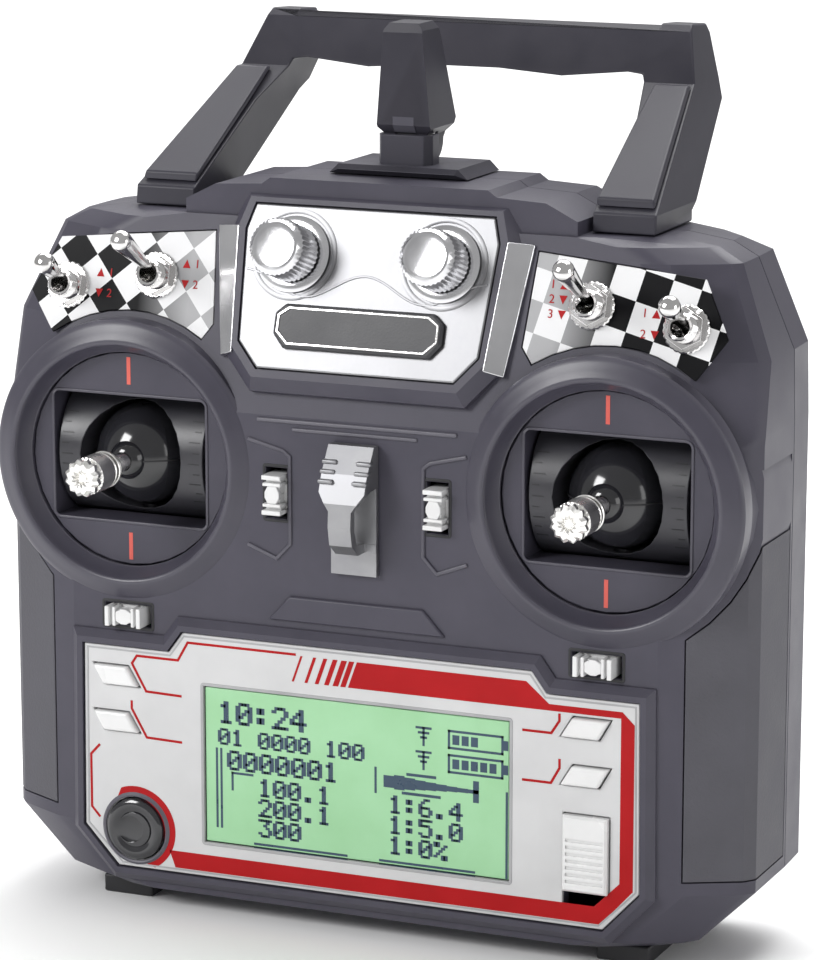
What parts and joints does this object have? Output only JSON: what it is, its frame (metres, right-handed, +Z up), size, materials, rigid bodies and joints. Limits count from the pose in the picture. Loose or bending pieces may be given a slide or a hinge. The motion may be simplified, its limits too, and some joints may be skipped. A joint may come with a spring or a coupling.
{
  "type": "radio transmitter controller",
  "caption": "Hand-held two-stick radio transmitter for model aircraft, with toggle switches, trims, knobs, a display panel, a carry handle and a folding antenna.",
  "frame": {"origin": "middle of the footprint, on the surface that the feet stand on", "axes": "+Z up, +X to the operator's right, +Y from the front face to the back"},
  "size_m": [0.174, 0.0958, 0.1945],
  "materials": {
    "body_plastic": "satin grey moulded plastic, slightly violet",
    "dark_plastic": "matt black plastic",
    "gloss_black": "polished black plastic",
    "grip_rubber": "fine grained soft grip",
    "satin_chrome": "satin bright metal plating",
    "chrome": "polished plating",
    "steel": "plain zinc plated steel",
    "white_plastic": "smooth white plastic",
    "plate_print": "printed black and white squares with red marks",
    "overlay_print": "printed light grey film with red bars",
    "lcd": "lit green liquid crystal display",
    "cell_wrap": "blue shrink wrap",
    "circuit_board": "green solder mask"
  },
  "bodies": {
    "casing": {"front_shell": "body_plastic", "rear_shell": "body_plastic", "battery_pack": "cell_wrap", "main_board": "circuit_board", "left_grip": "grip_rubber", "right_grip": "grip_rubber", "left_foot": "dark_plastic", "right_foot": "dark_plastic", "case_screw_1": "steel", "case_screw_2": "steel", "case_screw_3": "steel", "case_screw_4": "steel", "handle_frame": "body_plastic", "handle_cover_left": "body_plastic", "handle_cover_right": "body_plastic", "antenna_stand": "body_plastic", "antenna_pin": "steel", "gimbal_plate_left": "body_plastic", "gimbal_plate_right": "body_plastic", "gimbal_frame_left": "dark_plastic", "gimbal_frame_right": "dark_plastic", "switch_plate_left": "plate_print", "switch_plate_right": "plate_print", "switch_a_body": "chrome", "switch_b_body": "chrome", "switch_c_body": "chrome", "switch_d_body": "chrome", "control_plate": "satin_chrome", "pot_body_left": "steel", "pot_body_right": "steel", "name_badge": "dark_plastic", "display_overlay": "overlay_print", "lcd_panel": "lcd", "strap_hook": "satin_chrome"},
    "stick_tilt_left": {"drum_left": "gloss_black"},
    "stick_left": {"ball_left": "gloss_black", "stick_shaft_left": "satin_chrome", "stick_tip_left": "satin_chrome"},
    "stick_tilt_right": {"drum_right": "gloss_black"},
    "stick_right": {"ball_right": "gloss_black", "stick_shaft_right": "satin_chrome", "stick_tip_right": "satin_chrome"},
    "lever_a": {"switch_a_lever": "chrome"},
    "lever_b": {"switch_b_lever": "chrome"},
    "lever_c": {"switch_c_lever": "chrome"},
    "lever_d": {"switch_d_lever": "chrome"},
    "knob_left": {"knob_left": "satin_chrome"},
    "knob_right": {"knob_right": "satin_chrome"},
    "trim_left_side": {"trim_left_side": "white_plastic"},
    "trim_left_up": {"trim_left_up": "white_plastic"},
    "trim_right_up": {"trim_right_up": "white_plastic"},
    "trim_right_side": {"trim_right_side": "white_plastic"},
    "key_left_upper": {"key_left_upper": "white_plastic"},
    "key_left_lower": {"key_left_lower": "white_plastic"},
    "key_right_upper": {"key_right_upper": "white_plastic"},
    "key_right_lower": {"key_right_lower": "white_plastic"},
    "bind_key": {"bind_key": "gloss_black"},
    "power_slider": {"power_slider": "white_plastic"},
    "battery_cover": {"battery_cover": "body_plastic"},
    "antenna": {"antenna_paddle": "body_plastic"}
  },
  "joints": [
    {"name": "stick_left_up_down", "type": "hinge", "parent": "casing", "child": "stick_tilt_left", "pos_m": [-0.0552, -0.0099, 0.1], "axis": [1, 0, 0], "range_deg": [-24, 24]},
    {"name": "stick_left_left_right", "type": "hinge", "parent": "stick_tilt_left", "child": "stick_left", "pos_m": [-0.0552, -0.0159, 0.1], "axis": [0, 0, 1], "range_deg": [-24, 24], "stiffness_Nm_per_rad": 0.05},
    {"name": "stick_right_up_down", "type": "hinge", "parent": "casing", "child": "stick_tilt_right", "pos_m": [0.0552, -0.0099, 0.1], "axis": [1, 0, 0], "range_deg": [-24, 24], "stiffness_Nm_per_rad": 0.05},
    {"name": "stick_right_left_right", "type": "hinge", "parent": "stick_tilt_right", "child": "stick_right", "pos_m": [0.0552, -0.0159, 0.1], "axis": [0, 0, 1], "range_deg": [-24, 24], "stiffness_Nm_per_rad": 0.05},
    {"name": "switch_a_throw", "type": "hinge", "parent": "casing", "child": "lever_a", "pos_m": [-0.071, -0.02233, 0.13686], "axis": [1, 0, 0], "range_deg": [0, 30]},
    {"name": "switch_b_throw", "type": "hinge", "parent": "casing", "child": "lever_b", "pos_m": [-0.05, -0.02144, 0.14016], "axis": [1, 0, 0], "range_deg": [0, 30]},
    {"name": "switch_c_throw", "type": "hinge", "parent": "casing", "child": "lever_c", "pos_m": [0.05, -0.02144, 0.14016], "axis": [1, 0, 0], "range_deg": [0, 30]},
    {"name": "switch_d_throw", "type": "hinge", "parent": "casing", "child": "lever_d", "pos_m": [0.071, -0.02233, 0.13686], "axis": [1, 0, 0], "range_deg": [0, 30]},
    {"name": "knob_left_turn", "type": "hinge", "parent": "casing", "child": "knob_left", "pos_m": [-0.0172, -0.02186, 0.14677], "axis": [0, -0.9483, 0.3173], "range_deg": [-140, 140]},
    {"name": "knob_right_turn", "type": "hinge", "parent": "casing", "child": "knob_right", "pos_m": [0.0172, -0.02186, 0.14677], "axis": [0, -0.9483, 0.3173], "range_deg": [-140, 140]},
    {"name": "trim_left_side_click", "type": "slide", "parent": "casing", "child": "trim_left_side", "axis": [1, 0, 0], "range_m": [-0.001, 0.001], "stiffness_N_per_m": 300},
    {"name": "trim_left_up_click", "type": "slide", "parent": "casing", "child": "trim_left_up", "axis": [0, 0, 1], "range_m": [-0.001, 0.001], "stiffness_N_per_m": 300},
    {"name": "trim_right_up_click", "type": "slide", "parent": "casing", "child": "trim_right_up", "axis": [0, 0, 1], "range_m": [-0.001, 0.001], "stiffness_N_per_m": 300},
    {"name": "trim_right_side_click", "type": "slide", "parent": "casing", "child": "trim_right_side", "axis": [1, 0, 0], "range_m": [-0.001, 0.001], "stiffness_N_per_m": 300},
    {"name": "key_left_upper_press", "type": "slide", "parent": "casing", "child": "key_left_upper", "axis": [0, 1, 0], "range_m": [0, 0.001], "stiffness_N_per_m": 300},
    {"name": "key_left_lower_press", "type": "slide", "parent": "casing", "child": "key_left_lower", "axis": [0, 1, 0], "range_m": [0, 0.001], "stiffness_N_per_m": 300},
    {"name": "key_right_upper_press", "type": "slide", "parent": "casing", "child": "key_right_upper", "axis": [0, 1, 0], "range_m": [0, 0.001], "stiffness_N_per_m": 300},
    {"name": "key_right_lower_press", "type": "slide", "parent": "casing", "child": "key_right_lower", "axis": [0, 1, 0], "range_m": [0, 0.001], "stiffness_N_per_m": 300},
    {"name": "bind_key_press", "type": "slide", "parent": "casing", "child": "bind_key", "axis": [0, 1, 0], "range_m": [0, 0.001], "stiffness_N_per_m": 300},
    {"name": "power_slide", "type": "slide", "parent": "casing", "child": "power_slider", "axis": [0, 0, -1], "range_m": [0, 0.004]},
    {"name": "battery_cover_slide", "type": "slide", "parent": "casing", "child": "battery_cover", "axis": [0, 0, -1], "range_m": [0, 0.006]},
    {"name": "antenna_fold", "type": "hinge", "parent": "casing", "child": "antenna", "pos_m": [0, 0.0029, 0.1694], "axis": [-1, 0, 0], "range_deg": [0, 45]}
  ]
}
